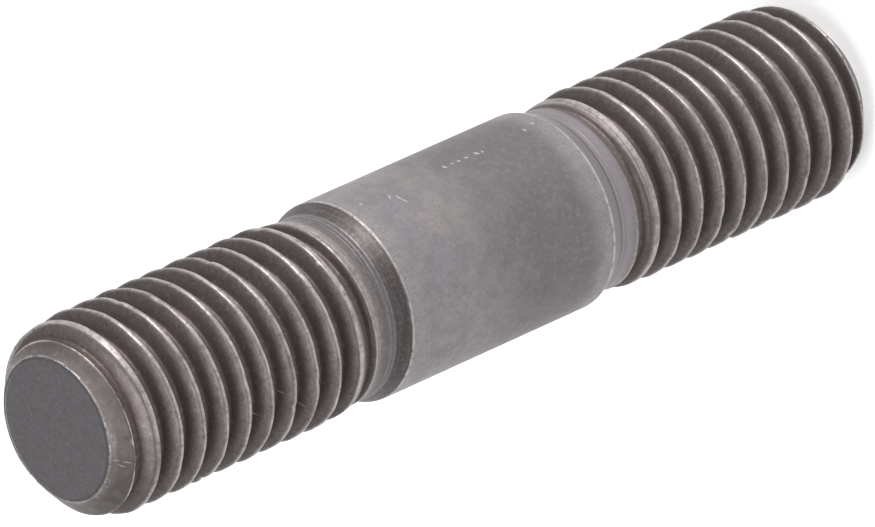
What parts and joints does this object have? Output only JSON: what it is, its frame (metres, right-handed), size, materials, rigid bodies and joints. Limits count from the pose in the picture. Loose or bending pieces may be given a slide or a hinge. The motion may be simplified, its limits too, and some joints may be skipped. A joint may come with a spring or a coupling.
{
  "type": "double ended stud",
  "caption": "Straight steel stud with a coarse right-hand thread on both ends, short necks behind the threads, a plain shank between and chamfered flat ends.",
  "frame": {"origin": "centre of the lower end face, on the axis of the stud", "axes": "+Z along the axis, from the lower end to the upper end. X and Y are square to it, and the stud is round about Z apart from where its threads start."},
  "size_m": [0.012, 0.012, 0.06],
  "materials": {
    "black_oxide_steel": "black oxide, matt, worn to bare steel along crests and corners"
  },
  "bodies": {
    "root": {"stud": "black_oxide_steel"}
  },
  "joints": []
}
